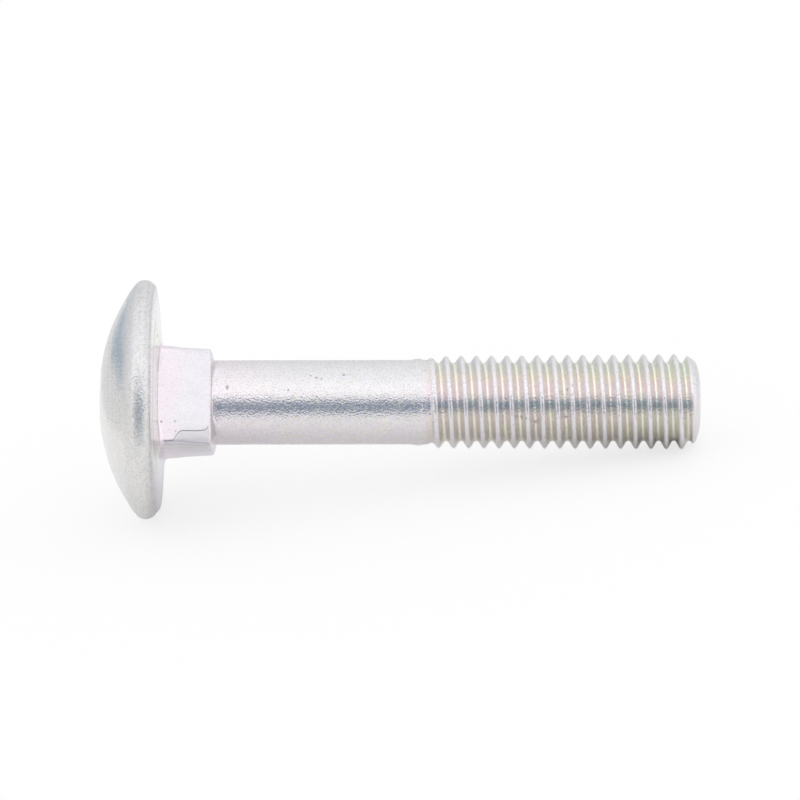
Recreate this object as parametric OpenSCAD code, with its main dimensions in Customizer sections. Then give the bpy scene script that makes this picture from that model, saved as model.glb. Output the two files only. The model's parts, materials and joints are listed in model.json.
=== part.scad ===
// Carriage bolt: cup head, square neck, plain shank and a rolled metric thread.
// It lies as it comes to rest, on the rim of its head and the end of its thread.

/* [Head] */
// Diameter of the cup head
head_d = 19.7; // [17:0.1:22]
// Height of the cup head over its bearing face
head_h = 4.8; // [4.2:0.1:6]
// Radius of the rounded rim
rim_r = 1; // [0.6:0.05:1.3]
// Diameter of the flat bearing face
bearing_d = 17.2; // [14:0.1:17.4]
// How far the head sits off the shank's axis
head_offset = 0.2; // [0:0.05:0.4]

/* [Square neck] */
// Width across the flats, where the neck leaves the head
neck_w = 8.15; // [7.6:0.05:9]
// Length of the flats under the head
neck_l = 4.4; // [3:0.1:7]
// Diameter over the rounded corners at the head
neck_corner_d = 10.8; // [10.4:0.1:11.2]
// Diameter over the corners at the other end, where forging fills them less
neck_corner_end_d = 10.4; // [9.8:0.1:10.8]
// Taper of each flat, in degrees
neck_draft = 3; // [0:0.25:4]
// Length of the cone that leads down to the shank
neck_cone_l = 0.7; // [0.4:0.05:1.2]

/* [Shank] */
// Length of the bolt from the bearing face to its point
bolt_l = 44.6; // [36:0.1:80]
// Diameter of the plain shank
shank_d = 7; // [6.6:0.05:7.1]
// Diameter of the swell that rolling leaves before the thread
swell_d = 7.14; // [7.12:0.01:7.3]
// Length of that swell
swell_l = 0.9; // [0.5:0.1:2]

/* [Thread] */
// Length of the thread from its run-out to the point
thread_l = 22.9; // [15:0.1:28]
// Distance from one crest to the next
pitch = 1.25; // [1:0.05:1.5]
// Diameter over the last full crests, near the point
thread_d = 7.86; // [7.7:0.01:8]
// Diameter over the first full crests, which rolling fills less
thread_start_d = 7.6; // [7.4:0.01:7.8]
// Diameter at the root
root_d = 6.46; // [6.3:0.01:6.6]
// Angle between the flanks, in degrees
flank_angle = 60; // [50:1:60]
// Width of the crest
crest_w = 0.16; // [0.1:0.01:0.2]
// Depth of the rounding at the bottom of the root
root_sag = 0.04; // [0:0.01:0.08]
// Length over which the thread rises out of the shank
run_out_l = 1.6; // [0.8:0.1:3]

/* [Point] */
// Length of the rounded point
point_l = 1.3; // [0.8:0.1:2]
// Diameter of the end face
point_d = 6.1; // [5:0.1:6.4]
// Height of the crown on the end face
point_crown = 0.25; // [0.1:0.05:0.5]

/* [Hidden] */
$fn = 96;

// Turn of the bolt about its own axis as it lies, and of the thread against the neck
REST_ROLL = 60;
THREAD_TURN = 83;
// Where the rim's rounding ends in an edge, in degrees from its widest circle
RIM_EDGE_ANGLE = 60;
// Flats on the neck, steps round the thread, and rings over the crown of the point
NECK_SIDES = 4;
THREAD_SIDES = 36;
CROWN_RINGS = 3;
// How far joined shapes run into each other, and how far the thread's stem stays inside the swell
JOIN = 0.6;
STEM_INSET = 0.06;
// A size larger than the whole bolt
FAR = 2 * bolt_l;

// The dome is a ball that runs into the rim's rounding without an edge.
rim_centre_r = head_d / 2 - rim_r;
rim_to_crown = head_h - rim_r;
dome_r = (rim_centre_r ^ 2 + rim_to_crown ^ 2 - rim_r ^ 2) / (2 * (rim_to_crown - rim_r));
dome_centre_u = dome_r - head_h;
dome_half_angle = asin(rim_centre_r / (dome_r - rim_r));

neck_end = neck_l + neck_cone_l;
thread_start = bolt_l - thread_l;
thread_base = thread_start - JOIN;
thread_end = bolt_l - point_crown;
last_crest = thread_end - point_l;
stem_r = swell_d / 2 - STEM_INSET;
thread_depth = (thread_d - root_d) / 2;
flank_w = thread_depth * tan(flank_angle / 2);
root_w = pitch - crest_w - 2 * flank_w;
// One pitch of the thread's outline: how far along it, and how high between root and crest
FORM = [
    [0, 1],
    [crest_w, 1],
    [crest_w + flank_w, 0],
    [crest_w + flank_w + root_w / 2, -root_sag / thread_depth],
    [pitch - flank_w, 0],
];
ROWS_A_TURN = len(FORM);
ROWS = ROWS_A_TURN * (ceil((thread_end - thread_base) / pitch) + 1);
// Corners kept for each step round: one turn of rows below the first, and the last row
COLUMN = ROWS_A_TURN + ROWS + 1;
CROWN = THREAD_SIDES * COLUMN;

// At rest one plane touches the rim's rounding and the last full crest. The bolt rolls until its
// shank, the heavy side, is below the middle of the head.
rest_rim = rim_centre_r - head_offset;
rest_span = last_crest + rim_r;
rest_drop = rest_rim - thread_d / 2;
rest_tilt = atan(rest_drop / rest_span) + asin(rim_r / norm([rest_span, rest_drop]));
rest_height = rim_r + rest_rim * cos(rest_tilt) - rim_r * sin(rest_tilt);
rest_left = dome_centre_u * cos(rest_tilt) - dome_r;
rest_right = thread_end * cos(rest_tilt) + point_d / 2 * sin(rest_tilt);

function mix(low, high, share) = low + (high - low) * min(max(share, 0), 1);

// Radii of crest, root and point, u along the bolt from the bearing face
function crest_r(u) =
    let (grown = (u - thread_start) / (last_crest - thread_start))
    let (full = mix(thread_start_d, thread_d, grown) / 2)
    mix(stem_r, full, (u - thread_start) / run_out_l);
function root_r(u) = mix(stem_r, root_d / 2, (u - thread_start) / run_out_l);
function point_r(u) =
    let (gone = min(max((u - last_crest) / point_l, 0), 1))
    mix(point_d / 2, thread_d / 2, sqrt(1 - gone ^ 2));
function thread_r(u, height) = min(root_r(u) + height * (crest_r(u) - root_r(u)), point_r(u));

function ring_point(side, r, u) =
    let (turn = 360 * side / THREAD_SIDES)
    [r * cos(turn), r * sin(turn), u];

// Rows climb with the helix. Row 0 starts at the thread's base.
function row_u(side, row) =
    let (turn = floor(row / ROWS_A_TURN))
    let (step = FORM[row - turn * ROWS_A_TURN])
    thread_base + pitch * (turn + side / THREAD_SIDES) + step[0];
function row_height(row) = FORM[row - floor(row / ROWS_A_TURN) * ROWS_A_TURN][1];
function thread_point(side, row) =
    let (u = min(max(row_u(side, row), thread_base), thread_end))
    ring_point(side, thread_r(u, row_height(row)), u);
// One turn on, a row meets the row that is a whole pitch further. Rows past an end share its corner.
function thread_corner(side, row) =
    let (closes = side == THREAD_SIDES)
    let (at = closes ? 0 : side)
    let (own = closes ? row + ROWS_A_TURN : row)
    let (u = row_u(at, own))
    at * COLUMN + (u <= thread_base ? 0 : u >= thread_end ? COLUMN - 1 : own + ROWS_A_TURN);

function crown_point(side, ring) =
    let (share = 1 - ring / CROWN_RINGS)
    ring_point(side, share * point_d / 2, thread_end + point_crown * (1 - share ^ 2));
function crown_corner(side, ring) =
    let (at = side % THREAD_SIDES)
    ring == 0 ? at * COLUMN + COLUMN - 1
    : ring == CROWN_RINGS ? CROWN + THREAD_SIDES * (CROWN_RINGS - 1)
    : CROWN + THREAD_SIDES * (ring - 1) + at;

// The two triangles of a patch, less any that has closed up
function patch(a, b, c, d) = [
    if (a != c && c != b && a != b) [a, c, b],
    if (a != d && d != c && a != c) [a, d, c],
];

module head() {
    dome_edge = [sin(dome_half_angle), -cos(dome_half_angle)];
    rim_edge = [cos(RIM_EDGE_ANGLE), sin(RIM_EDGE_ANGLE)];
    rim_centre = [rim_centre_r, -rim_r];
    rotate_extrude() {
        intersection() {
            translate([0, dome_centre_u])
                circle(r = dome_r);
            polygon([
                [0, 0],
                [0, -FAR],
                [0, dome_centre_u] + FAR * dome_edge,
                rim_centre,
                rim_centre + rim_r * rim_edge,
                [bearing_d / 2, 0],
            ]);
        }
        intersection() {
            translate(rim_centre)
                circle(r = rim_r);
            polygon([
                rim_centre,
                rim_centre + 2 * rim_r * dome_edge,
                rim_centre + 2 * rim_r * [1, -1],
                rim_centre + 2 * rim_r * [1, 0],
                rim_centre + 2 * rim_r * rim_edge,
            ]);
        }
    }
}

module square_neck() {
    intersection() {
        intersection_for (side = [0 : NECK_SIDES - 1])
            rotate([0, 0, 360 / NECK_SIDES * side])
                translate([neck_w / 2, -FAR / 2, 0])
                    rotate([0, -neck_draft, 0])
                        translate([-FAR, 0, -FAR / 2])
                            cube(FAR);
        rotate_extrude()
            polygon([
                [0, -JOIN],
                [neck_corner_d / 2, -JOIN],
                [neck_corner_d / 2, 0],
                [neck_corner_end_d / 2, neck_l],
                [shank_d / 2, neck_end],
                [0, neck_end],
            ]);
    }
}

module shank() {
    rotate_extrude()
        polygon([
            [0, -JOIN],
            [shank_d / 2, -JOIN],
            [shank_d / 2, thread_start - swell_l],
            [swell_d / 2, thread_start - swell_l / 2],
            [swell_d / 2, thread_start],
            [0, thread_start],
        ]);
}

module thread() {
    points = concat(
        [for (side = [0 : THREAD_SIDES - 1], row = [-ROWS_A_TURN : ROWS]) thread_point(side, row)],
        [for (ring = [1 : CROWN_RINGS - 1], side = [0 : THREAD_SIDES - 1]) crown_point(side, ring)],
        [crown_point(0, CROWN_RINGS)]
    );
    skin = [
        for (side = [0 : THREAD_SIDES - 1], row = [-ROWS_A_TURN : ROWS - 1])
            each patch(
                thread_corner(side, row),
                thread_corner(side + 1, row),
                thread_corner(side + 1, row + 1),
                thread_corner(side, row + 1)
            )
    ];
    crown = [
        for (side = [0 : THREAD_SIDES - 1], ring = [0 : CROWN_RINGS - 1])
            each patch(
                crown_corner(side, ring),
                crown_corner(side + 1, ring),
                crown_corner(side + 1, ring + 1),
                crown_corner(side, ring + 1)
            )
    ];
    foot = [[for (side = [0 : THREAD_SIDES - 1]) side * COLUMN]];
    rotate([0, 0, THREAD_TURN])
        polyhedron(points, concat(skin, crown, foot));
}

module carriage_bolt() {
    color("gainsboro")
        translate([-(rest_left + rest_right) / 2, 0, rest_height])
            rotate([0, 90 + rest_tilt, 0])
                union() {
                    translate([-head_offset, 0, 0])
                        rotate([0, 0, REST_ROLL])
                            head();
                    rotate([0, 0, REST_ROLL]) {
                        square_neck();
                        shank();
                        thread();
                    }
                }
}

carriage_bolt();
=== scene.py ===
# %% [markdown]
# # A carriage bolt, zinc plated
# The bolt has a shallow domed head, a square neck that keeps it from turning in timber, a plain
# shank and a rolled thread. It lies on the rim of its head and the end of its thread.
# We load the imported model first. It is the frame that everything else has to agree with.

# %% Load the frame
import json
import math

import bmesh
import bpy
import numpy as np
from mathutils import Matrix, Vector, noise


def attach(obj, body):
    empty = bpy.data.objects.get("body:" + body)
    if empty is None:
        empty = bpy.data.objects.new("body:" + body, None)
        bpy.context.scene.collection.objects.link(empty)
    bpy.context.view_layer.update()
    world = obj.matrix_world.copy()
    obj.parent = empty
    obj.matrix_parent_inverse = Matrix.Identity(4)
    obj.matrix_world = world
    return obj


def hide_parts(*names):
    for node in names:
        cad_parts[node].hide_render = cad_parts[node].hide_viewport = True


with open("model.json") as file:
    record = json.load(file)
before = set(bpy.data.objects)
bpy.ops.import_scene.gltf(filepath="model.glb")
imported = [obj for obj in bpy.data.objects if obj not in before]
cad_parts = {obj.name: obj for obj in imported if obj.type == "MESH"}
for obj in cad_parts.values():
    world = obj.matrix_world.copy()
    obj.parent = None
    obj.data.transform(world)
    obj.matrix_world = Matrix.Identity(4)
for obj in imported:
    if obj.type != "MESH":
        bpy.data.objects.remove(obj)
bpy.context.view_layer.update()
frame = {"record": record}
MM = 0.001

# %% [markdown]
# ## Where the bolt lies
# The record's mounts give the two ends of the bolt's own axis: the neck's root, on the bearing
# face, and the point. From them we build a set of axes that lie along the bolt, so the rest of
# the script can think in distance along the bolt (u), radius (r) and turn about the axis.

# %% The bolt's own axes
mounts = {mount["name"]: mount for mount in frame["record"]["mounts"]}
root = Vector(mounts["square_neck"]["pos_m"])
point = Vector(mounts["thread"]["pos_m"])
along = (point - root).normalized()
bolt_l = (point - root).length / MM
over = (Vector((0, 0, 1)) - along * along.z).normalized()
across = Vector((0, 1, 0))
print("bolt is", round(bolt_l, 2), "mm under the head, dipping",
      round(math.degrees(math.asin(-along.z)), 2), "degrees")


def in_row(u, r, turn):
    """Millimetres along, out and round the bolt, as points of the row frame in metres."""
    spokes = (np.outer(-np.cos(turn).ravel(), over) + np.outer(np.sin(turn).ravel(), across))
    return np.array(root) + MM * (np.outer(u.ravel(), along) + r.reshape(-1, 1) * spokes)


# %% [markdown]
# ## Sizes
# These are the bolt's driving sizes in millimetres. They follow its source, but three are set a
# little finer here: the head lies 0.28 mm off the axis and not 0.2, the shank is 0.05 mm thinner
# and the thread's root 0.04 mm. The turns say how the square neck and the thread stand about the
# axis as the bolt lies.

# %% Driving sizes
head_d, head_h, rim_r, bearing_d, head_offset = 19.7, 4.8, 1.0, 17.2, 0.28
neck_w, neck_l, neck_corner_d, neck_corner_end_d = 8.15, 4.4, 10.8, 10.4
neck_draft = math.radians(3)
shank_d, swell_d, swell_l = 6.95, 7.14, 0.9
thread_l, pitch, thread_d, thread_start_d, root_d = 22.9, 1.25, 7.86, 7.6, 6.42
run_out_l, point_l, point_d, point_crown = 1.6, 1.3, 6.1, 0.25
rest_roll, thread_turn = math.radians(60), math.radians(83)

rim_centre_r = head_d / 2 - rim_r
rim_to_crown = head_h - rim_r
dome_r = (rim_centre_r ** 2 + rim_to_crown ** 2 - rim_r ** 2) / (2 * (rim_to_crown - rim_r))
dome_half_angle = math.asin(rim_centre_r / (dome_r - rim_r))
thread_start = bolt_l - thread_l
thread_end = bolt_l - point_crown
last_crest = thread_end - point_l
print("the dome is part of a ball of radius", round(dome_r, 2), "mm")

# %% [markdown]
# ## Columns round the bolt
# The whole bolt is one skin: columns run along it and rows run round it. The columns crowd
# together a little at the four corners of the neck, because that is where the shape turns
# quickest and even columns would cut the corners off.

# %% Columns
COLUMNS = 224
CROWDING = 0.45
even = np.linspace(0, 2 * math.pi, COLUMNS, endpoint=False)
corner_turn = rest_roll + math.pi / 4
turn = even - CROWDING / 4 * np.sin(4 * (even - corner_turn))
print(COLUMNS, "columns, the closest", round(math.degrees(np.diff(turn).min()), 2), "degrees apart")


def smooth(low, high, x):
    """0 below low, 1 above high, and an S-curve between them."""
    t = np.clip((x - low) / (high - low), 0, 1)
    return t * t * (3 - 2 * t)


def ring(u, r):
    """One row: the same u and r in every column, unless they are given for each."""
    return np.broadcast_to(u, COLUMNS).astype(float), np.broadcast_to(r, COLUMNS).astype(float)


# %% [markdown]
# ## The cup head
# A die presses the head out of the wire, so its top is part of a ball that rolls over into a
# rounded rim, which ends in a faint edge. The very crown is pressed a little flat. Where two forms
# meet we take the lesser of both with a soft minimum, as a worn die leaves them.

# %% Rows of the head
DOME_ROWS, RIM_ROWS, UNDERSIDE_ROWS = 44, 16, 16
RIM_EDGE = math.radians(60)
CROWN_FLAT, CROWN_BLEND = 0.17, 0.08


def soft_min(a, b, width):
    """The lesser of two, rounded over where they cross."""
    blend = np.clip(0.5 + (b - a) / (2 * width), 0, 1)
    return b + (a - b) * blend - width * blend * (1 - blend)


rows = []
for share in np.linspace(0, 1, DOME_ROWS + 1)[1:]:
    angle = share * dome_half_angle
    fall = dome_r * (1 - math.cos(angle))
    fall = CROWN_FLAT - soft_min(CROWN_FLAT - fall, 0.0, CROWN_BLEND)
    rows.append(ring(fall - head_h, dome_r * math.sin(angle)))
for angle in np.linspace(dome_half_angle - math.pi / 2, RIM_EDGE, RIM_ROWS + 1)[1:]:
    rows.append(ring(rim_r * (math.sin(angle) - 1), rim_centre_r + rim_r * math.cos(angle)))
head_rows = len(rows)
print("head:", head_rows, "rows from the crown to the edge of the rim")

# %% [markdown]
# The dome and the rim's rounding are both arcs, so their curvature jumps where they meet, and
# bright metal shows such a jump as a line across its reflections. Each row near the joint moves
# to the mean of the outline around it, which spreads the jump out.

# %% Blend the dome into the rim
BLEND_BEFORE, BLEND_FULL, BLEND_AFTER = -0.80, -0.2, 0.40
BLEND_MM, BLEND_SAMPLES = 0.55, 15
profile = np.array([(row[0][0], row[1][0]) for row in rows])
run = np.concatenate([[0], np.cumsum(np.linalg.norm(np.diff(profile, axis=0), axis=1))])
crease = run[DOME_ROWS - 1]
for number, (u, r) in enumerate(profile):
    past = run[number] - crease
    near = smooth(BLEND_BEFORE, BLEND_FULL, past) * (1 - smooth(0.0, BLEND_AFTER, past))
    around = run[number] + BLEND_MM * np.linspace(-1, 1, BLEND_SAMPLES)
    mean_u, mean_r = (np.interp(around, run, profile[:, i]).mean() for i in (0, 1))
    rows[number] = ring(u + near * (mean_u - u), r + near * (mean_r - r))
print("dome and rim blended over", round(BLEND_AFTER - BLEND_BEFORE, 2), "mm of the outline")

# %% [markdown]
# ## The square neck
# The neck is a square with its corners rolled off. At each turn its radius is the distance to
# the nearest flat or to the rounded corner, whichever is less. The flats taper, and the corners
# fill less towards the shank. Close to the head the whole neck flares a touch. The lower flat was
# forged a little askew: away from the head it stands out more and more at the corner that it
# shares with the front flat, and not at its other corner.

# %% The neck's section
SOFTNESS, CORNER_FULLER, FLARE = 0.07, 0.30, 0.07
FLARE_FROM, FLARE_TO = 1.4, 2.2
LIP, LIP_FROM, LIP_TO = 0.33, 0.3, 4.6
LIP_AT_CORNER = 0.7
LIP_NEAR, LIP_FAR = math.radians(2), math.radians(14)
HALF_FLAT, LOWER_REACH = math.radians(45), math.radians(60)
LEAST_COSINE = 0.2
lower_turn = rest_roll - math.pi / 2


def flat_turn(angle):
    """Turn away from the middle of the nearest flat."""
    return (angle - rest_roll + math.pi / 4) % (math.pi / 2) - math.pi / 4


def turn_from(angle, middle):
    """Turn away from a middle, from -pi to pi."""
    return (angle - middle + math.pi) % (2 * math.pi) - math.pi


def lower_flat(half, lip, from_lower):
    """Distance to the askew lower flat, or to the front flat where that is nearer."""
    askew = (half + lip / 2) / (np.cos(from_lower) + lip / (2 * half) * np.sin(from_lower))
    front = half / np.maximum(np.cos(from_lower + math.pi / 2), LEAST_COSINE)
    return np.where(from_lower < 0, np.minimum(askew, front), askew)


def neck_radius(u, angle):
    half = neck_w / 2 - u * math.tan(neck_draft)
    lip = LIP * smooth(LIP_FROM, LIP_TO, u)
    from_lower = turn_from(angle, lower_turn)
    on_lower = (from_lower > -LOWER_REACH) & (from_lower < HALF_FLAT)
    flat = np.where(on_lower, lower_flat(half, lip, from_lower), half / np.cos(flat_turn(angle)))
    corner = (CORNER_FULLER + neck_corner_d + (neck_corner_end_d - neck_corner_d) * u / neck_l) / 2
    at_lip = 1 - smooth(LIP_NEAR, LIP_FAR, np.abs(from_lower + HALF_FLAT))
    flare = FLARE * (1 - smooth(FLARE_FROM, FLARE_TO, u))
    return soft_min(flat, corner + LIP_AT_CORNER * lip * at_lip, SOFTNESS) + flare


print("neck: radius", round(float(neck_radius(0, turn).min()), 2), "to",
      round(float(neck_radius(0, turn).max()), 2), "mm at the head")

# %% [markdown]
# ## The underside
# The underside of the head rises slightly to the neck, because the die needs a little draft. It
# rises more behind the neck's corners than in front of its flats, and so does the fillet. On its
# lower side the head is pressed a little thicker, which fades away towards the neck. Two rows
# between the rim's edge and the bearing ring lead into that.

# %% Rows of the underside
RISE_FLAT, RISE_CORNER = 0.24, 0.40
FILLET_FLAT, FILLET_CORNER = 0.06, 0.42
LIFT, LIFT_TURN, LIFT_FROM, LIFT_FULL = 0.21, math.radians(-21), 0.25, 0.9
EDGE_ROWS = ((9.14, 0.55), (8.90, 0.90))
NEAR_CORNER, AT_CORNER = math.radians(22), math.radians(45)
cornered = smooth(NEAR_CORNER, AT_CORNER, np.abs(flat_turn(turn)))
rise = RISE_FLAT + (RISE_CORNER - RISE_FLAT) * cornered
fillet = FILLET_FLAT + (FILLET_CORNER - FILLET_FLAT) * cornered
foot = neck_radius(0, turn) + fillet
lifted = LIFT * smooth(LIFT_FROM, LIFT_FULL, np.cos(turn - LIFT_TURN))
rim_edge_u = rim_r * (math.sin(RIM_EDGE) - 1)
rim_edge_r = rim_centre_r + rim_r * math.cos(RIM_EDGE)
for r, share in EDGE_ROWS:
    edge_u = rim_edge_u * (r - bearing_d / 2) / (rim_edge_r - bearing_d / 2)
    rows.append(ring(edge_u + share * lifted, r))
first_under_row = len(rows)
for share in np.linspace(0, 1, UNDERSIDE_ROWS + 1):
    r = bearing_d / 2 + (foot - bearing_d / 2) * share
    rows.append(ring(lifted * (1 - share) + rise * share, r))
print("underside:", len(rows) - first_under_row, "rows, thicker by up to",
      round(float(lifted.max()), 2), "mm below")

# %% [markdown]
# ## Down to the shank
# A small fillet leads up from the underside onto the neck. At the other end the neck breaks off
# in a steep shoulder with a long, hollow foot, because the die's edge is worn round. The
# shoulder is drawn as a short list: how far along it, and how much of the step is left.

# %% Rows of the neck
FILLET_ROWS, NECK_ROWS, SHOULDER_ROWS = 6, 54, 20
SHOULDER_AT = [4.34, 4.48, 4.58, 4.67, 4.75, 4.82, 4.91, 5.05, 5.22, 5.42]
SHOULDER_LEFT = [1.0, 0.97, 0.88, 0.68, 0.42, 0.24, 0.15, 0.075, 0.025, 0.0]
FLAT_END, FLAT_STEEPER = 4.49, 0.22
neck_end = SHOULDER_AT[-1]
for angle in np.linspace(0, math.pi / 2, FILLET_ROWS + 1)[1:]:
    u = rise + fillet * (1 - math.cos(angle))
    rows.append(ring(u, neck_radius(u, turn) + fillet * (1 - math.sin(angle))))
first_neck_row = len(rows)
for share in np.linspace(0, 1, NECK_ROWS + 1)[1:]:
    u = rise + fillet + (SHOULDER_AT[0] - rise - fillet) * share
    rows.append(ring(u, neck_radius(u, turn)))
full = neck_radius(SHOULDER_AT[0], turn)
for step in np.linspace(0, len(SHOULDER_AT) - 1, SHOULDER_ROWS + 1)[1:]:
    corner_u = float(np.interp(step, range(len(SHOULDER_AT)), SHOULDER_AT))
    left = float(np.interp(corner_u, SHOULDER_AT, SHOULDER_LEFT))
    flat_u = FLAT_END + FLAT_STEEPER * (corner_u - SHOULDER_AT[0])
    r = shank_d / 2 + (full - shank_d / 2) * left
    rows.append(ring(flat_u + (corner_u - flat_u) * cornered, r))
print("neck and shoulder:", len(rows) - first_neck_row, "rows")

# %% [markdown]
# ## The plain shank
# The shank is the wire's own diameter. Just before the thread it swells a little, where the
# rolling dies pushed metal back, and the swell begins with a small edge.

# %% Rows of the shank
SHANK_ROWS, SWELL_ROWS = 34, 10
THREAD_BEFORE, SWELL_FULL = 0.2, 0.8
thread_base = thread_start - THREAD_BEFORE
swell_start = thread_start - swell_l
for u in np.linspace(neck_end, swell_start, SHANK_ROWS + 1)[1:]:
    rows.append(ring(u, shank_d / 2))
for share in np.linspace(0, 1, SWELL_ROWS + 1)[1:]:
    u = swell_start + share * (thread_base - swell_start)
    rows.append(ring(u, shank_d / 2 + (swell_d - shank_d) / 2 * smooth(0, SWELL_FULL, share)))
ring_u = np.array([row[0] for row in rows])
ring_r = np.array([row[1] for row in rows])
print("so far", len(rows), "rings, ending at u =", round(float(ring_u[-1, 0]), 2), "mm")

# %% [markdown]
# ## The rolled thread
# A thread is one ridge that climbs round the bolt, so its rows climb too: each follows the same
# height on the ridge all the way round and meets the next turn's row where it closes. Rows that
# would run past either end are held there, and doubled points are merged afterwards. The ridge's
# outline is a trapezium whose corners are rounded by a short moving average, as rolling leaves it.

# %% The ridge's outline
RIDGE_ROWS = 12
CREST_W, ROUNDING, ROUNDING_SAMPLES = 0.17, 0.15, 9
HALF_FLANK_ANGLE = math.radians(30)
ROW_CROWDING = 0.03
flank_w = (thread_d - root_d) / 2 * math.tan(HALF_FLANK_ANGLE)


def ridge_height(offset):
    """Height on the ridge, 0 at the root and 1 at the crest, at an offset from the crest's middle."""
    window = offset + ROUNDING * np.linspace(-0.5, 0.5, ROUNDING_SAMPLES)[:, None]
    away = np.abs((window + pitch / 2) % pitch - pitch / 2)
    return np.clip(1 - (away - CREST_W / 2) / flank_w, 0, 1).mean(axis=0)


steps = pitch * (np.arange(RIDGE_ROWS) / RIDGE_ROWS)
steps = steps + ROW_CROWDING * pitch * np.sin(4 * math.pi * steps / pitch)
print("ridge heights:", np.round(ridge_height(steps), 2))

# %% [markdown]
# ## Crest, root and point
# Rolling fills the first crests less than the last ones, and the ridge rises out of the shank
# over a little more than one turn. At the far end the rounded point cuts the ridge off. The first
# crest stands where the source has it: that thread begins a little inside the swell, and the
# middle of its crest is half the crest's width further on.

# %% How the thread grows and ends
SWELL_STEP, STEP_FROM, STEP_TO = 0.08, -0.02, 0.10
RUN_OUT_FROM = 0.1
POINT_BEND, POINT_FULLNESS = 1.3, 0.6
SOURCE_START, SOURCE_CREST_W = 0.6, 0.16


def grown_in(u):
    """How far the ridge has risen out of the shank, from 0 to 1."""
    return smooth(RUN_OUT_FROM, run_out_l, u - thread_start)


def base_radius(u):
    return swell_d / 2 - SWELL_STEP * smooth(STEP_FROM, STEP_TO, u - thread_start)


def crest_radius(u):
    filled = np.clip((u - thread_start) / (last_crest - thread_start), 0, 1)
    full = (thread_start_d + (thread_d - thread_start_d) * filled) / 2
    return base_radius(u) + (full - base_radius(u)) * grown_in(u)


def root_radius(u):
    return base_radius(u) + (root_d / 2 - base_radius(u)) * grown_in(u)


def point_radius(u):
    gone = np.clip((u - last_crest) / point_l, 0, 1)
    return point_d / 2 + (thread_d - point_d) / 2 * (1 - gone ** POINT_BEND) ** POINT_FULLNESS


first_crest = thread_start - SOURCE_START + SOURCE_CREST_W / 2
crest_at = first_crest - pitch * (rest_roll + thread_turn) / (2 * math.pi)
turns = math.ceil((thread_end - thread_base) / pitch) + 2
first_turn = math.floor((thread_base - crest_at) / pitch) - 1
phase = np.concatenate([steps + pitch * n for n in range(first_turn, first_turn + turns + 1)])
helix_u = phase[:, None] + crest_at + pitch * turn[None, :] / (2 * math.pi)
helix_u = np.clip(helix_u, thread_base, thread_end)
height = ridge_height(phase)[:, None]
helix_r = root_radius(helix_u) + height * (crest_radius(helix_u) - root_radius(helix_u))
helix_r = np.minimum(helix_r, point_radius(helix_u))
print("thread:", len(phase), "rows in", turns + 1, "turns")

# %% [markdown]
# ## One skin
# The rings and the climbing rows become one mesh. A climbing row closes on the row one whole turn
# further on, which is what makes it a helix and not a stack of rings.

# %% The crown of the point
CROWN_ROWS, CROWN_POWER, CROWN_CROWDING = 12, 6, 1.7
crown_share = (1 - np.linspace(0, 1, CROWN_ROWS + 1) ** CROWN_CROWDING)[1:-1]
crown_r = np.outer(crown_share * point_d / 2, np.ones(COLUMNS))
crown_u = np.outer(thread_end + point_crown * (1 - crown_share ** CROWN_POWER), np.ones(COLUMNS))

skin_u = np.concatenate([ring_u, helix_u, crown_u])
skin_r = np.concatenate([ring_r, helix_r, crown_r])
skin_turn = np.broadcast_to(turn, skin_u.shape)
rings, climbing = len(ring_u), len(helix_u)
print("skin:", skin_u.shape[0], "rows of", COLUMNS)


def corner(row, column):
    """Number of the point at a row and column. Past the last column a climbing row moves on a turn."""
    closes = column == COLUMNS
    in_thread = rings <= row < rings + climbing
    if closes and in_thread:
        row = min(row + RIDGE_ROWS, rings + climbing - 1)
    return row * COLUMNS + column % COLUMNS


# %% [markdown]
# ## Wear and making marks
# Nothing forged and barrel plated is quite true. The skin is pushed in and out by slow noise, the
# neck gets the lap where metal folded over in the die, and a few knocks from the barrel are pressed
# in. All of that is shape, so light finds it from any side.

# %% Slow unevenness of the surface
WAVE_MM, WAVE_SIZE_MM, WAVE_SEED = 0.012, 1.6, 3.1
HEAD_WAVE_MM, HEAD_WAVE_SIZE_MM, HEAD_WAVE_SEED = 0.045, 3.4, 9.7
HEAD_FADE_MM = 0.4


def roughen(points, size, seed):
    """Smooth noise between -1 and 1 at each point, with features of about the given size."""
    return np.array([noise.noise(Vector(p) / (size * MM) + Vector((seed, 0, 0))) for p in points])


flat_points = in_row(skin_u, skin_r, skin_turn)
wave = WAVE_MM * roughen(flat_points, WAVE_SIZE_MM, WAVE_SEED)
head_wave = HEAD_WAVE_MM * roughen(flat_points, HEAD_WAVE_SIZE_MM, HEAD_WAVE_SEED)
head_share = 1 - smooth(-HEAD_FADE_MM, HEAD_FADE_MM, skin_u)
wave = wave.reshape(skin_u.shape) + head_share * head_wave.reshape(skin_u.shape)
print("surface leaves its true form by up to", round(float(np.abs(wave).max()), 3), "mm")

# %% [markdown]
# The lap is a shallow step along the lower edge of the front flat. Its border is drawn in
# distance along the neck and height across the flat, and the metal below it is pressed in
# gently. The step itself is narrower than a face, so the mesh only carries how far each point
# lies inside the border, and the material draws the step from that.

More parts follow.
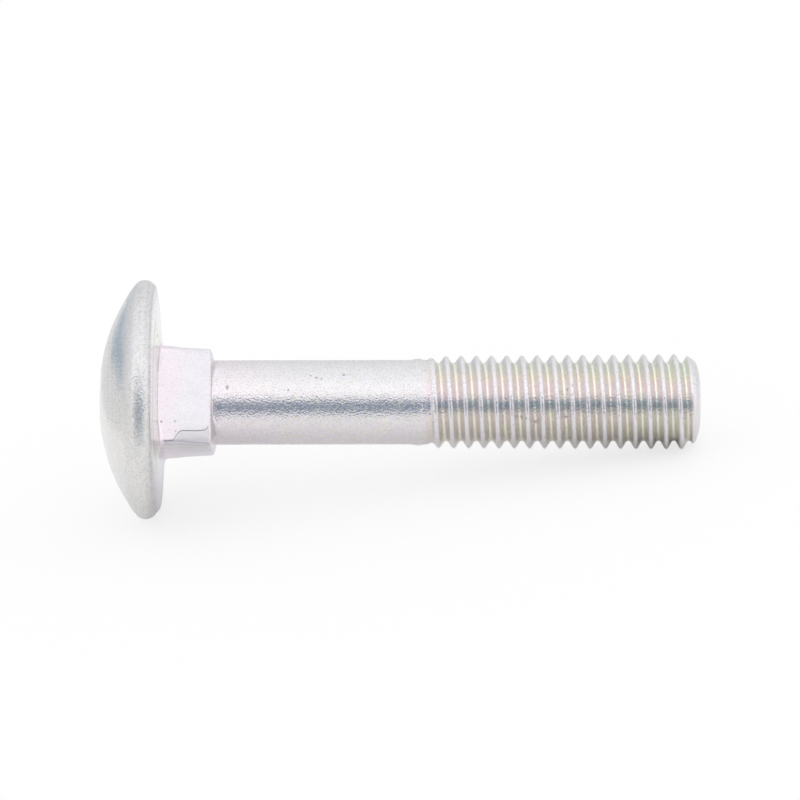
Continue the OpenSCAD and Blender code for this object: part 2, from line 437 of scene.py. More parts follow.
# %% The lap on the neck
LAP_BORDER = [(0.75, -3.83), (1.54, -3.70), (1.87, -3.16), (2.07, -2.97), (2.29, -2.92),
              (3.53, -2.92), (4.11, -2.86), (4.27, -2.69), (4.38, -2.44)]
LAP_DEPTH, LAP_SLOPE_MM, LAP_END_MM = 0.045, 1.0, 0.1
LAP_FADE_FROM, LAP_FADE_TO, LAP_REACH = (math.radians(a) for a in (46, 78, 80))
FRONT_FROM, FRONT_TO = math.radians(45), math.radians(50)
OFF_THE_LAP = -9
beside = turn_from(skin_turn, rest_roll - math.pi)
across_flat = -skin_r * np.sin(beside)
border_u, border_h = np.array(LAP_BORDER).T
border = np.interp(skin_u, border_u, border_h, left=OFF_THE_LAP, right=OFF_THE_LAP)
inside = np.clip(border - across_flat, -1, 1)
on_neck = (skin_u > border_u[0]) & (skin_u < border_u[-1] + LAP_END_MM)
lap_mm = np.where(on_neck & (np.abs(beside) < LAP_REACH), inside, -1.0)
fading = 1 - smooth(LAP_FADE_FROM, LAP_FADE_TO, np.abs(beside))
lap = smooth(0.0, LAP_SLOPE_MM, lap_mm) * fading
front_flat = 1 - smooth(FRONT_FROM, FRONT_TO, np.abs(beside))
print("lap covers", int((lap_mm > 0).sum()), "points")

# %% [markdown]
# Each knock is a place on the skin, a width and a depth. They are centred on the head and the
# shank, which strike their neighbours in the barrel, and none is centred on the neck or thread.

# %% Knocks
KNOCKS = 60
KNOCK_WIDTH_MM, KNOCK_DEPTH_MM = (0.12, 0.5), (0.008, 0.03)
FREE_ROWS_AT_CROWN, FREE_ROWS_AT_THREAD = 3, 4
rng = np.random.default_rng(41)
knocks = np.zeros_like(skin_u)
unit = flat_points.reshape(*skin_u.shape, 3) / MM
first_shank_row = first_neck_row + NECK_ROWS + SHOULDER_ROWS
open_rows = np.r_[FREE_ROWS_AT_CROWN:head_rows, first_shank_row:rings - FREE_ROWS_AT_THREAD]
for _ in range(KNOCKS):
    row = rng.choice(open_rows)
    column = rng.integers(0, COLUMNS)
    width = rng.uniform(*KNOCK_WIDTH_MM)
    depth = rng.uniform(*KNOCK_DEPTH_MM)
    gap = np.linalg.norm(unit - unit[row, column], axis=2)
    knocks += depth * np.exp(-(gap / width) ** 2)
print(KNOCKS, "knocks, the deepest", round(float(knocks.max()), 3), "mm")

# %% [markdown]
# A few single marks stay in the plating: a dot on the neck, a dark spot at its root, and specks on
# the shank and the thread. Each is a place along the bolt, a turn in degrees and a width. We keep
# the number of the nearest point of the skin, leaving out the head, so the material can find it.

# %% Single marks
MARKS = [(0.58, -91.7, 0.13), (0.20, -163, 0.22), (5.70, -132, 0.20), (5.85, -131, 0.14),
         (10.7, -128, 0.13), (12.7, -149, 0.12), (13.0, -147, 0.15), (13.5, -145, 0.12),
         (15.55, -151, 0.17), (29.85, -88, 0.20), (30.25, -90, 0.15), (31.0, -81, 0.22),
         (33.5, -89, 0.20), (33.6, -128, 0.15)]
HEAD_ONLY_R, NOT_THE_HEAD = 7, 9
mark_index = []
for u, degrees, _ in MARKS:
    off = turn_from(skin_turn, math.radians(degrees))
    away = (skin_u - u) ** 2 + (skin_r * off) ** 2 + NOT_THE_HEAD * (skin_r > HEAD_ONLY_R)
    mark_index.append(int(np.argmin(away)))
print(len(MARKS), "single marks")

# %% [markdown]
# ## Build the mesh
# The unevenness moves each point out or in along its spoke, and the head's dome along the bolt.
# The head is also shifted a little to one side, as it was pressed off the centre of its wire.

# %% The skin as a mesh
DOME_TO_RIM = (-3.5, -0.8)
HEAD_TO_NECK = (-0.1, 0.25)
push = wave - knocks - LAP_DEPTH * lap
tip = smooth(*DOME_TO_RIM, skin_u)
final_r = skin_r + push * tip
final_u = skin_u - push * (1 - tip)
points = in_row(final_u, final_r, skin_turn)
shifted = (1 - smooth(*HEAD_TO_NECK, skin_u)).reshape(-1, 1)
points = points + MM * head_offset * shifted * np.array(over)

mark_places = points[mark_index]
pole = np.array(root) + MM * ((CROWN_FLAT - head_h) * np.array(along) + head_offset * np.array(over))
tip_point = np.array(root) + MM * bolt_l * np.array(along)
all_points = np.vstack([points, pole, tip_point])
POLE, TIP = len(points), len(points) + 1

faces = []
total_rows = len(skin_u)
for row in range(total_rows - 1):
    for column in range(COLUMNS):
        if row == rings - 1:
            faces.append((corner(row, column), corner(row, column + 1),
                          (row + 1) * COLUMNS + (column + 1) % COLUMNS, (row + 1) * COLUMNS + column))
        else:
            faces.append((corner(row, column), corner(row, column + 1),
                          corner(row + 1, column + 1), corner(row + 1, column)))
faces += [(POLE, (column + 1) % COLUMNS, column) for column in range(COLUMNS)]
last = (total_rows - 1) * COLUMNS
faces += [(TIP, last + column, last + (column + 1) % COLUMNS) for column in range(COLUMNS)]
mesh = bpy.data.meshes.new("bolt_skin")
mesh.from_pydata(all_points.tolist(), [], faces)
print("raw skin:", len(all_points), "points,", len(faces), "faces")

# %% [markdown]
# ## What the finish needs to know
# The colour of a thin passivation film changes with place: it is pink near the head and runs
# through yellow and green in the thread's grooves. The mesh carries that knowledge as one number
# a point, so the material can look it up wherever the bolt is turned.

# %% Numbers the material reads
def carry(name, values):
    """Stores one number for each point of the skin, with the two poles last."""
    layer = mesh.attributes.new(name, "FLOAT", "POINT")
    flat = np.concatenate([values.ravel(), [values[0, 0], values[-1, 0]]])
    layer.data.foreach_set("value", flat.astype(np.float32))


PINK_AT = [0.27, 0.42, 1.3, 2.6, 4.2, 4.5, 6.0, 10.0, 14.0]
PINK_SHARE = [0.0, 1.0, 0.9, 0.30, 0.22, 0.45, 0.50, 0.15, 0.0]
LOWEST_TURN, FRONT_TURN = math.radians(-50), math.radians(-118)
FILM_STARTS, FILM_STOPS = (-0.1, 1.2), (-1.0, -0.3)
NECK_STARTS, NECK_STOPS, HEAD_STOPS = (0.2, 0.4), (4.3, 4.6), (-0.4, 0.1)
FACING_FRONT = (0.55, 0.80)
WORN_CORNER = (math.radians(41.5), math.radians(43.5))
in_thread = slice(rings, rings + climbing)
threaded = smooth(*FILM_STARTS, skin_u - thread_start) * (1 - smooth(*FILM_STOPS, skin_u - thread_end))
ridge, side, underside = np.ones_like(skin_u), np.zeros_like(skin_u), np.zeros_like(skin_u)
ridge[in_thread] = np.broadcast_to(height, helix_u.shape)
side[in_thread] = np.sin(2 * math.pi * phase / pitch)[:, None]
underside[first_under_row - 1:first_under_row + UNDERSIDE_ROWS] = 1
carried = {
    "groove": (1 - ridge) * threaded,
    "flank": side * threaded,
    "threaded": threaded,
    "pink_share": np.interp(skin_u, PINK_AT, PINK_SHARE),
    "neck_share": smooth(*NECK_STARTS, skin_u) * (1 - smooth(*NECK_STOPS, skin_u)),
    # faces the lower front side: it places film colours, and also the neck's painted shade
    "drained_and_shaded": 0.5 + 0.5 * np.cos(skin_turn - LOWEST_TURN),
    "lap_mm": lap_mm,
    "front_flat": front_flat,
    "underside": underside,
    "towards_front": smooth(*FACING_FRONT, np.cos(skin_turn - FRONT_TURN)),
    "corner_share": smooth(*WORN_CORNER, np.abs(flat_turn(skin_turn))),
    "on_the_head": 1 - smooth(*HEAD_STOPS, skin_u),
    "u_mm": skin_u,
    "r_mm": skin_r,
}
for name, values in carried.items():
    carry(name, values)
print("attributes:", list(carried))

# %% [markdown]
# Merging doubled points closes the climbing rows onto the ring they were held at. After that the
# skin has no loose or flat faces, and every face points outward.

# %% Merge, turn outward and smooth
MERGE_MM = 0.0004
work = bmesh.new()
work.from_mesh(mesh)
bmesh.ops.remove_doubles(work, verts=work.verts, dist=MERGE_MM * MM)
bmesh.ops.dissolve_degenerate(work, edges=work.edges, dist=MERGE_MM * MM)
bmesh.ops.recalc_face_normals(work, faces=work.faces)
open_edges = sum(1 for edge in work.edges if len(edge.link_faces) != 2)
print("skin:", len(work.verts), "points,", len(work.faces), "faces,", open_edges, "open edges,",
      round(work.calc_volume() / MM ** 3, 1), "mm3")
work.to_mesh(mesh)
work.free()
mesh.polygons.foreach_set("use_smooth", [True] * len(mesh.polygons))

bolt = bpy.data.objects.new("bolt_skin", mesh)
bpy.context.scene.collection.objects.link(bolt)
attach(bolt, "root")
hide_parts("carriage_bolt")

# %% [markdown]
# ## Small tools for node trees
# Materials and the studio are wired from a few kinds of node. These helpers make a node, set its
# sockets and link whatever is handed in, so that each recipe below reads like a sum. Where a
# ramp's numbers have a name, they are from, to, and then the values there if not 0 and 1.

# %% Node helpers
def plug(tree, socket, value):
    """A socket takes either a link or a plain value."""
    if isinstance(value, bpy.types.NodeSocket):
        tree.links.new(value, socket)
    else:
        socket.default_value = value


def math_node(tree, operation, *values):
    made = tree.nodes.new("ShaderNodeMath")
    made.operation = operation
    for socket, value in zip(made.inputs, values):
        plug(tree, socket, value)
    return made.outputs[0]


def times(tree, first, *others):
    """The product of links and numbers."""
    for other in others:
        first = math_node(tree, "MULTIPLY", first, other)
    return first


def plus(tree, first, *others):
    """The sum of links and numbers."""
    for other in others:
        first = math_node(tree, "ADD", first, other)
    return first


def ramp(tree, value, low, high, at_low=0.0, at_high=1.0):
    """Runs smoothly from at_low to at_high as value goes from low to high."""
    made = tree.nodes.new("ShaderNodeMapRange")
    made.interpolation_type = "SMOOTHSTEP"
    for name, given in zip(("Value", "From Min", "From Max", "To Min", "To Max"),
                           (value, low, high, at_low, at_high)):
        plug(tree, made.inputs[name], given)
    return made.outputs["Result"]


def blend_colour(tree, share, below, above):
    """Goes from the colour below to the one above as share goes from 0 to 1."""
    made = tree.nodes.new("ShaderNodeMix")
    made.data_type = "RGBA"
    plug(tree, made.inputs["Factor"], share)
    for socket, given in ((made.inputs[6], below), (made.inputs[7], above)):
        plug(tree, socket, (*given, 1.0) if isinstance(given, tuple) and len(given) == 3 else given)
    return made.outputs[2]


def read(tree, name):
    """A number that the mesh carries."""
    made = tree.nodes.new("ShaderNodeAttribute")
    made.attribute_name = name
    return made.outputs["Fac"]


def cloud(tree, where, size, detail=3.0, rough=0.55):
    """Noise from 0 to 1 with features of about size millimetres."""
    made = tree.nodes.new("ShaderNodeTexNoise")
    plug(tree, made.inputs["Vector"], where)
    made.inputs["Scale"].default_value = 1 / (size * MM)
    made.inputs["Detail"].default_value = detail
    made.inputs["Roughness"].default_value = rough
    return made.outputs["Fac"]


print("node helpers are ready")

# %% [markdown]
# ## Bright zinc with a clear passivation
# The plating is a bright but slightly grainy metal. On top lies a film so thin that it colours
# the light: pink, then yellow, then green as it thickens, most of all in the thread's grooves,
# where it drains last. We mix those colours into the metal's own colour, and begin with the
# mottle that the film shows everywhere, stronger on the side it drained to.

# %% Zinc and its film
zinc = bpy.data.materials.new("zinc_plate")
zinc.use_nodes = True
tree = zinc.node_tree
shader = tree.nodes["Principled BSDF"]
shader.inputs["Metallic"].default_value = 1.0

ZINC = (0.80, 0.808, 0.842)
DULL = (0.765, 0.775, 0.785)
LILAC = (0.81, 0.775, 0.835)
YELLOW = (0.85, 0.82, 0.64)
GREEN = (0.72, 0.80, 0.70)
ROSE = (0.83, 0.71, 0.75)
MOTTLE = [(0.36, ROSE), (0.45, LILAC), (0.52, ROSE), (0.58, YELLOW), (0.64, ZINC), (0.70, GREEN)]
DULL_PATCHES, MOTTLE_BY_SIDE = (0.3, 0.7), (0.2, 0.95, 0.14, 0.55)


def bands(tree, share, stops):
    """Colours along a line, given as (place, colour)."""
    made = tree.nodes.new("ShaderNodeValToRGB")
    made.color_ramp.interpolation = "EASE"
    made.color_ramp.elements.remove(made.color_ramp.elements[-1])
    for number, (place, tint) in enumerate(stops):
        stop = made.color_ramp.elements[0] if number == 0 else made.color_ramp.elements.new(place)
        stop.position, stop.color = place, (*tint, 1.0)
    plug(tree, made.inputs["Fac"], share)
    return made.outputs["Color"]


where = tree.nodes.new("ShaderNodeTexCoord").outputs["Object"]
slow = cloud(tree, where, 3.2)
patch = cloud(tree, where, 0.9)
fleck = cloud(tree, where, 0.42, detail=4.0, rough=0.65)
speck = cloud(tree, where, 0.14, detail=1.0, rough=0.5)

drained_and_shaded = read(tree, "drained_and_shaded")
colour = blend_colour(tree, ramp(tree, patch, *DULL_PATCHES), ZINC, DULL)
mottled = ramp(tree, drained_and_shaded, *MOTTLE_BY_SIDE)
colour = blend_colour(tree, mottled, colour, bands(tree, fleck, MOTTLE))
print("mottle has", len(MOTTLE), "stops")

# %% [markdown]
# The neck was gripped by the die, so its flats are the smoothest and whitest faces of the bolt.
# On their lowest side they carry painted shade in grey, and they are pink near the head. On the
# head the mottle lies in rings, as the blow spread its metal outward, and the side that the film
# drained to is a little warmer. For the rings we look noise up by distance along and out, and not by
# place.

# %% Neck and head
NECK_WHITE, NECK_SHADE_GREY = (0.785, 0.788, 0.83), (0.60, 0.61, 0.63)
PINK = (0.87, 0.775, 0.835)
HEAD_WARM, HEAD_TINT = (0.785, 0.785, 0.755), (0.66, 0.65, 0.66)
RING_SIZE_MM, RING_EDGES, RING_BREAKS = 0.30, (0.42, 0.62), (0.40, 0.60, 0.15, 0.8)
NECK_EVEN, NECK_SHADED_SIDE = (0.2, 0.8, 1.0, 0.75), (0.88, 0.95)
WARM_LOW, PINK_DRIFT = (0.5, 0.85, 0.0, 0.6), (0.25, 0.75, 0.6, 1.0)
u_mm, r_mm = read(tree, "u_mm"), read(tree, "r_mm")
neck_share, on_the_head = read(tree, "neck_share"), read(tree, "on_the_head")
outline_place = tree.nodes.new("ShaderNodeCombineXYZ")
for socket, value in zip(outline_place.inputs, (u_mm, r_mm)):
    plug(tree, socket, times(tree, value, MM))
ring_noise = cloud(tree, outline_place.outputs[0], RING_SIZE_MM, detail=2.0)
ringed = times(tree, ramp(tree, ring_noise, *RING_EDGES), ramp(tree, fleck, *RING_BREAKS), on_the_head)
neck_film_and_shade = times(tree, neck_share, ramp(tree, patch, *NECK_EVEN))
# the neck's white turns grey on its lowest side: painted shade
neck_colour_and_shade = blend_colour(tree, ramp(tree, drained_and_shaded, *NECK_SHADED_SIDE), NECK_WHITE, NECK_SHADE_GREY)
colour = blend_colour(tree, neck_film_and_shade, colour, neck_colour_and_shade)
colour = blend_colour(tree, ringed, colour, HEAD_TINT)
warm = times(tree, on_the_head, ramp(tree, drained_and_shaded, *WARM_LOW))
colour = blend_colour(tree, warm, colour, HEAD_WARM)
pink = times(tree, read(tree, "pink_share"), ramp(tree, slow, *PINK_DRIFT))
colour = blend_colour(tree, pink, colour, PINK)
print("rings on the head about", RING_SIZE_MM, "mm apart")

# %% [markdown]
# The underside of the head is pale. On the side towards the front it gets a painted cream
# highlight, and a greenish painted highlight runs round it there. A dull, broken line follows the
# edge of the rim all the way.

# %% Underside of the head
PALE, CREAM_HIGHLIGHT = (0.86, 0.85, 0.89), (0.93, 0.95, 0.87)
GREEN_HIGHLIGHT, EDGE_GREY = (0.66, 0.67, 0.57), (0.50, 0.50, 0.53)
UNDER_FROM_U, CREAM_HIGHLIGHT_OUTWARD = (-0.12, 0.0), (5.0, 7.6, 0.4, 1.0)
BAND_R, BAND_HALF_WIDTH, BAND_STRENGTH = 7.85, 0.60, 0.7
RIM_LINE_U, RIM_LINE_HALF_WIDTH = -0.14, 0.05
RIM_LINE_FROM_R, RIM_LINE_BREAKS = (8.0, 8.2), (0.35, 0.65, 0.05, 0.45)


def line_at(tree, value, place, half_width):
    """1 on a line where value equals place, fading to 0 at half_width on either side."""
    away = math_node(tree, "ABSOLUTE", math_node(tree, "SUBTRACT", value, place))
    return ramp(tree, away, 0.0, half_width, 1.0, 0.0)


under = times(tree, read(tree, "underside"), ramp(tree, u_mm, *UNDER_FROM_U))
towards_front = read(tree, "towards_front")
# painted cream highlight on the underside, on the side towards the front
cream_highlight = times(tree, towards_front, ramp(tree, r_mm, *CREAM_HIGHLIGHT_OUTWARD))
colour = blend_colour(tree, under, colour, blend_colour(tree, cream_highlight, PALE, CREAM_HIGHLIGHT))
# painted greenish highlight line round the underside, on the side towards the front
green_highlight = times(tree, line_at(tree, r_mm, BAND_R, BAND_HALF_WIDTH), under, towards_front, BAND_STRENGTH)
colour = blend_colour(tree, green_highlight, colour, GREEN_HIGHLIGHT)
rim_line = times(tree, line_at(tree, u_mm, RIM_LINE_U, RIM_LINE_HALF_WIDTH),
                 ramp(tree, r_mm, *RIM_LINE_FROM_R), ramp(tree, patch, *RIM_LINE_BREAKS))
colour = blend_colour(tree, rim_line, colour, EDGE_GREY)
print("underside: green band at radius", BAND_R, "mm")

# %% [markdown]
# ## The film in the thread
# In a groove the film's colour depends on which flank it is on, on slow drift along the bolt, and
# on how far round it has drained, so two sets of bands are mixed. The crests are rubbed back to
# plain whitish zinc, and a painted highlight runs along the very root of each groove.

# %% The film in the thread
MAUVE, PEACH, TAN = (0.77, 0.66, 0.75), (0.85, 0.79, 0.66), (0.66, 0.64, 0.55)
SLATE, BROWN, CREST = (0.60, 0.67, 0.74), (0.80, 0.73, 0.68), (0.83, 0.81, 0.85)
FILM = [(0.42, MAUVE), (0.54, ROSE), (0.68, PEACH), (0.80, YELLOW), (0.92, GREEN)]
ROUND_THE_GROOVE = [(0.30, GREEN), (0.43, PEACH), (0.54, ROSE), (0.68, ROSE), (0.765, SLATE),
                    (0.86, BROWN), (1.0, TAN)]
ROOT_HIGHLIGHT = [(0.45, (0.97, 0.95, 0.82)), (0.80, (0.84, 0.93, 0.80)), (1.0, (0.90, 0.90, 0.76))]
BY_FLANK, BY_DRIFT, BY_LENGTH, DRIFT_SIZE_MM = 0.16, 0.9, 0.0068, 2.0
BOTH_SETS, FILM_DEPTH, FILM_STRENGTH = 0.5, (0.05, 0.42), 0.82
CREST_STRENGTH, ROOT_DEPTH, ROOT_STRENGTH = 0.7, (0.95, 1.0), 0.75
groove = read(tree, "groove")
film = plus(tree, times(tree, read(tree, "flank"), BY_FLANK),
            times(tree, cloud(tree, where, DRIFT_SIZE_MM), BY_DRIFT), times(tree, u_mm, BY_LENGTH))
in_groove = blend_colour(tree, BOTH_SETS, bands(tree, film, FILM), bands(tree, drained_and_shaded, ROUND_THE_GROOVE))
filmed = times(tree, ramp(tree, groove, *FILM_DEPTH), FILM_STRENGTH)
crest = blend_colour(tree, times(tree, read(tree, "threaded"), CREST_STRENGTH), colour, CREST)
colour = blend_colour(tree, filmed, crest, in_groove)
# painted highlight along the very root of each groove, tinted by side
root_highlight = times(tree, ramp(tree, groove, *ROOT_DEPTH), ROOT_STRENGTH)
colour = blend_colour(tree, root_highlight, colour, bands(tree, drained_and_shaded, ROOT_HIGHLIGHT))
print("film in the grooves has", len(FILM), "and", len(ROUND_THE_GROOVE), "stops")

# %% [markdown]
# ## Pits, grime and marks
# The plating has tiny pits, which look dark, and fine grime sits between its crystals, least on
# the neck. Pits come from a cell pattern in which only some cells count.

# %% Pits and grime
PIT_GREY, GRIME_GREY = (0.30, 0.29, 0.31), (0.50, 0.51, 0.53)
PIT_CELL_MM, PITTED_CELLS = 0.9, (0.78, 0.82)
PIT_SIZE, PIT_EDGE, PIT_STRENGTH = 0.10, 0.06, 0.40
GRIME_BY_NECK, HEAD_GRIME, GRIME_SPECKS = (0.0, 1.0, 0.34, 0.16), 0.16, (0.48, 0.66)
cells = tree.nodes.new("ShaderNodeTexVoronoi")
plug(tree, cells.inputs["Vector"], where)
cells.inputs["Scale"].default_value = 1 / (PIT_CELL_MM * MM)
chosen = tree.nodes.new("ShaderNodeSeparateColor")
tree.links.new(cells.outputs["Color"], chosen.inputs[0])
pitted = ramp(tree, chosen.outputs[0], *PITTED_CELLS)
size = times(tree, chosen.outputs[1], PIT_SIZE)
hollow = ramp(tree, cells.outputs["Distance"], size, plus(tree, size, PIT_EDGE), 1.0, 0.0)
pit = times(tree, pitted, hollow)
colour = blend_colour(tree, times(tree, pit, PIT_STRENGTH), colour, PIT_GREY)
grime = plus(tree, ramp(tree, neck_share, *GRIME_BY_NECK), times(tree, on_the_head, HEAD_GRIME))
grimy = times(tree, ramp(tree, speck, *GRIME_SPECKS), grime)
colour = blend_colour(tree, grimy, colour, GRIME_GREY)
print("pits in about a fifth of the cells")

# %% [markdown]
# The lap's edge is a hair of shadow with the dull, folded metal below it. The single marks are
# dark spots round the places that were picked on the skin.

# %% The lap's edge and the single marks
FOLDED_GREY, LAP_SHADOW, MARK_GREY = (0.70, 0.665, 0.705), (0.16, 0.19, 0.22), (0.24, 0.23, 0.26)
FOLD_EDGE_MM, LAP_LINE_MM, LAP_LINE_HALF_WIDTH = (0.0, 0.06), 0.02, 0.07
FOLDED_STRENGTH, LAP_LINE_STRENGTH = 0.8, 0.85
MARK_CORE, MARK_STRENGTH = 0.3, 0.7
lap_inside, on_front = read(tree, "lap_mm"), read(tree, "front_flat")
folded = ramp(tree, lap_inside, *FOLD_EDGE_MM)
colour = blend_colour(tree, times(tree, folded, on_front, FOLDED_STRENGTH), colour, FOLDED_GREY)
lap_line = line_at(tree, lap_inside, LAP_LINE_MM, LAP_LINE_HALF_WIDTH)
lap_line = times(tree, lap_line, on_front, LAP_LINE_STRENGTH)
colour = blend_colour(tree, lap_line, colour, LAP_SHADOW)
marked = 0.0
for mark_place, (_, _, width) in zip(mark_places, MARKS):
    off_mark = tree.nodes.new("ShaderNodeVectorMath")
    off_mark.operation = "DISTANCE"
    tree.links.new(where, off_mark.inputs[0])
    off_mark.inputs[1].default_value = tuple(mark_place)
    spot = ramp(tree, off_mark.outputs["Value"], MARK_CORE * width * MM, width * MM, 1.0, 0.0)
    marked = math_node(tree, "MAXIMUM", marked, spot)
colour = blend_colour(tree, times(tree, marked, MARK_STRENGTH), colour, MARK_GREY)
plug(tree, shader.inputs["Base Color"], colour)
print("lap and", len(MARKS), "marks drawn")

# %% [markdown]
# ## How the surface shines
# The dome is the shiniest part and the neck the smoothest. The rim and the worn corners of the
# neck are duller. Heights are given in millimetres, so that the grain keeps its real depth
# whatever its pattern.

# %% Roughness and grain
GRAIN_MM, PATCH_MM, PIT_MM, STEP_MM = 0.037, 0.009, 0.012, 0.03
DOME_R, RIM_R, PATCHY = (8.3, 9.0, 1.0, 0.0), (8.6, 9.2), (0.2, 0.8, 0.20, 0.28)
DOME_SHINIER, RIM_DULLER, CORNER_DULLER = 0.12, 0.07, 0.28
DOME_GRAIN, NECK_GRAIN, RIM_GRAIN = 0.45, 0.12, 1.35
dome_share = times(tree, on_the_head, ramp(tree, r_mm, *DOME_R))
rim_share = times(tree, on_the_head, ramp(tree, r_mm, *RIM_R))
worn_corner = times(tree, read(tree, "corner_share"), neck_share)
roughness = plus(tree, ramp(tree, patch, *PATCHY), times(tree, dome_share, -DOME_SHINIER),
                 times(tree, rim_share, RIM_DULLER), times(tree, worn_corner, CORNER_DULLER))
plug(tree, shader.inputs["Roughness"], roughness)
grain_mm = GRAIN_MM
for share, there in ((dome_share, DOME_GRAIN), (neck_share, NECK_GRAIN), (rim_share, RIM_GRAIN)):
    grain_mm = times(tree, grain_mm, ramp(tree, share, 0.0, 1.0, 1.0, there))
relief = plus(tree, times(tree, speck, grain_mm), times(tree, patch, PATCH_MM),
              times(tree, pit, -PIT_MM), times(tree, folded, -STEP_MM))
grain = tree.nodes.new("ShaderNodeBump")
grain.inputs["Strength"].default_value = 1.0
grain.inputs["Distance"].default_value = MM
plug(tree, grain.inputs["Height"], relief)
tree.links.new(grain.outputs["Normal"], shader.inputs["Normal"])
mesh.materials.append(zinc)
print("zinc:", len(tree.nodes), "nodes")

# %% [markdown]
# ## The camera
# It looks at the side of the bolt from a little above, square to its length, with the bolt level
# in the picture. Its long lens keeps the perspective gentle.

# %% Camera
LOOK_DOWN = math.radians(20.8)
LEAN = math.radians(0.12)
AIM_U, AIM_OVER, FAR_MM, FRAME_MM = 19.96, 0.176, 372.0, 65.84
toward = -across * math.cos(LOOK_DOWN) + over * math.sin(LOOK_DOWN)
upward = across * math.sin(LOOK_DOWN) + over * math.cos(LOOK_DOWN)
camera = bpy.data.objects.new("camera", bpy.data.cameras.new("camera"))
camera.data.lens = camera.data.sensor_width * FAR_MM / FRAME_MM
aim = root + MM * (AIM_U * along + AIM_OVER * upward)
rightward = along * math.cos(LEAN) - upward * math.sin(LEAN)
place = Matrix((rightward, toward.cross(rightward), toward)).transposed().to_4x4()
place.translation = aim + MM * FAR_MM * toward
camera.matrix_world = place
camera.data.clip_start, camera.data.clip_end = 0.01, 10.0
bpy.context.scene.collection.objects.link(camera)
bpy.context.scene.camera = camera
print("camera at", [round(c, 3) for c in place.translation], "lens", round(camera.data.lens, 1))

# %% [markdown]
# ## The floor
# A plain white sheet. It takes the bolt's soft shadow and is what the underside reflects. As the
# sheet is lit from behind too, the shadow that the camera sees is a faint one.

# %% Floor
FLOOR_RADIUS, FLOOR_SIDES = 0.056, 96
BACKLIGHT = 0.72
floor_mesh = bpy.data.meshes.new("floor")
edge = [(FLOOR_RADIUS * math.cos(2 * math.pi * i / FLOOR_SIDES),
         FLOOR_RADIUS * math.sin(2 * math.pi * i / FLOOR_SIDES), 0) for i in range(FLOOR_SIDES)]
floor_mesh.from_pydata(edge, [], [tuple(range(FLOOR_SIDES))])
floor = bpy.data.objects.new("floor", floor_mesh)
bpy.context.scene.collection.objects.link(floor)
paper = bpy.data.materials.new("white_sheet")
paper.use_nodes = True
sheet_tree = paper.node_tree
sheet = sheet_tree.nodes["Principled BSDF"]
sheet.inputs["Base Color"].default_value = (1.0, 1.0, 1.0, 1.0)
sheet.inputs["Roughness"].default_value = 1.0
sheet.inputs["Specular IOR Level"].default_value = 0.0
lit = sheet_tree.nodes.new("ShaderNodeEmission")
seen_by = sheet_tree.nodes.new("ShaderNodeLightPath")
both = sheet_tree.nodes.new("ShaderNodeMixShader")
backlit = times(sheet_tree, seen_by.outputs["Is Camera Ray"], BACKLIGHT)
sheet_tree.links.new(backlit, both.inputs[0])
sheet_tree.links.new(sheet.outputs[0], both.inputs[1])
sheet_tree.links.new(lit.outputs[0], both.inputs[2])
sheet_tree.links.new(both.outputs[0], sheet_tree.nodes["Material Output"].inputs["Surface"])
floor_mesh.materials.append(paper)
print("floor of radius", round(FLOOR_RADIUS / MM), "mm")

# %% [markdown]
# ## The studio
# Bright metal shows what stands round it, so the light is drawn as a room: an even white tent, a
# little brighter overhead, with the gap in front through which the picture is taken and the edge
# of the tent at the back. Only gloss sees the room. All other light is plain white.

# %% Studio light
world = bpy.context.scene.world or bpy.data.worlds.new("studio")
bpy.context.scene.world = world
world.use_nodes = True
room = world.node_tree
background = room.nodes["Background"]
direction = room.nodes.new("ShaderNodeTexCoord").outputs["Generated"]


def facing(axis):
    """How far a direction points along an axis, from -1 to 1."""
    made = room.nodes.new("ShaderNodeVectorMath")
    made.operation = "DOT_PRODUCT"
    room.links.new(direction, made.inputs[0])
    made.inputs[1].default_value = tuple(axis)
    return made.outputs["Value"]


front, top, right = facing(toward), facing(upward), facing(along)
up_degrees = math_node(room, "DIVIDE", math_node(room, "ARCTAN2", top, front), math.radians(1))
tent = room.nodes.new("ShaderNodeFloatCurve")
TENT = [(-180, 0.84), (-110, 0.87), (-60, 0.93), (-30, 0.97), (0, 1.02), (22, 1.12), (35, 1.20),
        (56, 1.24), (76, 1.18), (98, 1.10), (128, 1.04), (152, 0.96), (180, 0.84)]
TENT_SCALE = 1.5
curve = tent.mapping.curves[0]
for degrees, level in TENT:
    spot = ((degrees + 180) / 360, level / TENT_SCALE)
    if degrees in (-180, 180):
        curve.points[0 if degrees < 0 else -1].location = spot
    else:
        curve.points.new(*spot)
tent.mapping.update()
plug(room, tent.inputs["Value"], ramp(room, up_degrees, -180, 180))
print("tent drawn at", len(curve.points), "heights")

# %% [markdown]
# The gap in front spans the height and width of the camera's side of the tent. The far edge of
# the tent, behind the head, is a narrow darker arc. Both fade softly at their borders.

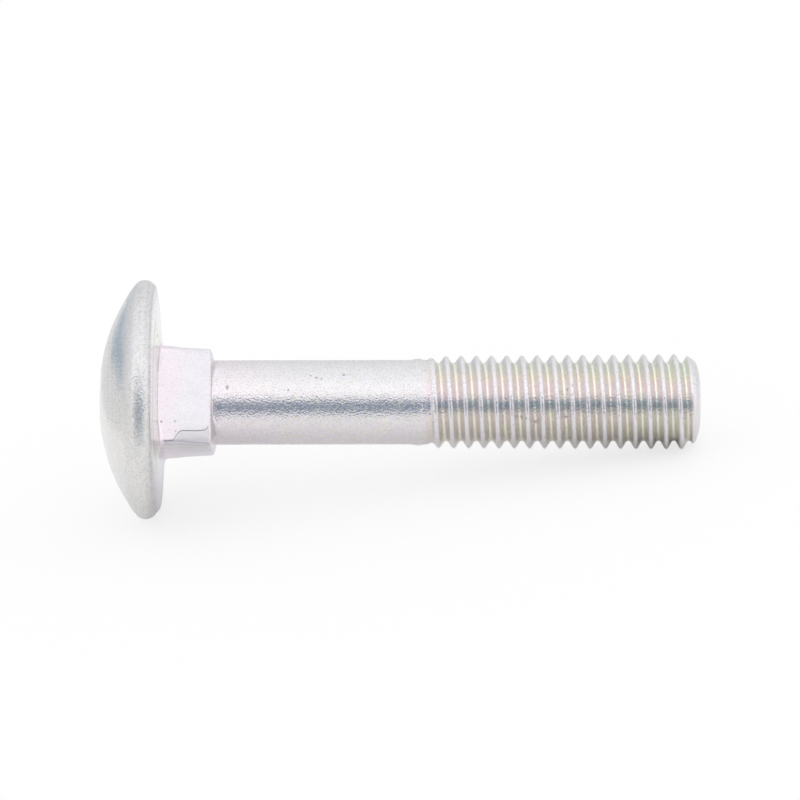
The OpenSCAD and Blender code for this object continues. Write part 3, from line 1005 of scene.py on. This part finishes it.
# %% The gap and the tent's far edge
GAP_BELOW, GAP_ABOVE, GAP_FADE = -30, 4.5, 6
GAP_HALF_WIDTH, GAP_SIDE_FADE = math.radians(44), 0.06
GAP_COLOUR, ARC_COLOUR = (0.225, 0.29, 0.37), (0.40, 0.49, 0.56)
ARC_ENDS = ((-0.35, 0.235, -0.905), (-0.82, 0.14, -0.555))
ARC_HALF_WIDTH, ARC_FADE, ARC_REACH, ARC_END_FADE = 0.035, 0.03, math.cos(math.radians(23)), 0.08
low = ramp(room, up_degrees, GAP_BELOW - GAP_FADE / 2, GAP_BELOW + GAP_FADE / 2)
high = ramp(room, up_degrees, GAP_ABOVE - GAP_FADE / 2, GAP_ABOVE + GAP_FADE / 2, 1.0, 0.0)
gap_side = math.sin(GAP_HALF_WIDTH)
sideways = math_node(room, "ABSOLUTE", right)
wide = ramp(room, sideways, gap_side - GAP_SIDE_FADE, gap_side + GAP_SIDE_FADE, 1.0, 0.0)
gap = times(room, low, high, wide)

arc_from, arc_to = ((a * along + b * upward + c * toward).normalized() for a, b, c in ARC_ENDS)
off_arc = math_node(room, "ABSOLUTE", facing(arc_from.cross(arc_to).normalized()))
on_arc = ramp(room, off_arc, ARC_HALF_WIDTH, ARC_HALF_WIDTH + ARC_FADE, 1.0, 0.0)
near_arc = ramp(room, facing((arc_from + arc_to).normalized()), ARC_REACH - ARC_END_FADE, ARC_REACH)
arc = times(room, on_arc, near_arc)
print("gap spans", GAP_ABOVE - GAP_BELOW, "degrees, arc", round(math.degrees(arc_from.angle(arc_to))))

# %% [markdown]
# Gap and arc are laid over the tent, and only gloss sees the result.

# %% Put the room together
level = times(room, tent.outputs["Value"], TENT_SCALE)
white_tent = room.nodes.new("ShaderNodeCombineColor")
for socket in white_tent.inputs[:3]:
    room.links.new(level, socket)
seen = blend_colour(room, gap, white_tent.outputs[0], GAP_COLOUR)
seen = blend_colour(room, arc, seen, ARC_COLOUR)
ray = room.nodes.new("ShaderNodeLightPath")
gloss = math_node(room, "MAXIMUM", ray.outputs["Is Glossy Ray"], ray.outputs["Is Transmission Ray"])
seen = blend_colour(room, gloss, (1.0, 1.0, 1.0), seen)
room.links.new(seen, background.inputs["Color"])
background.inputs["Strength"].default_value = 1.0
bpy.context.scene.view_settings.view_transform = "Standard"
print("studio:", len(room.nodes), "nodes")
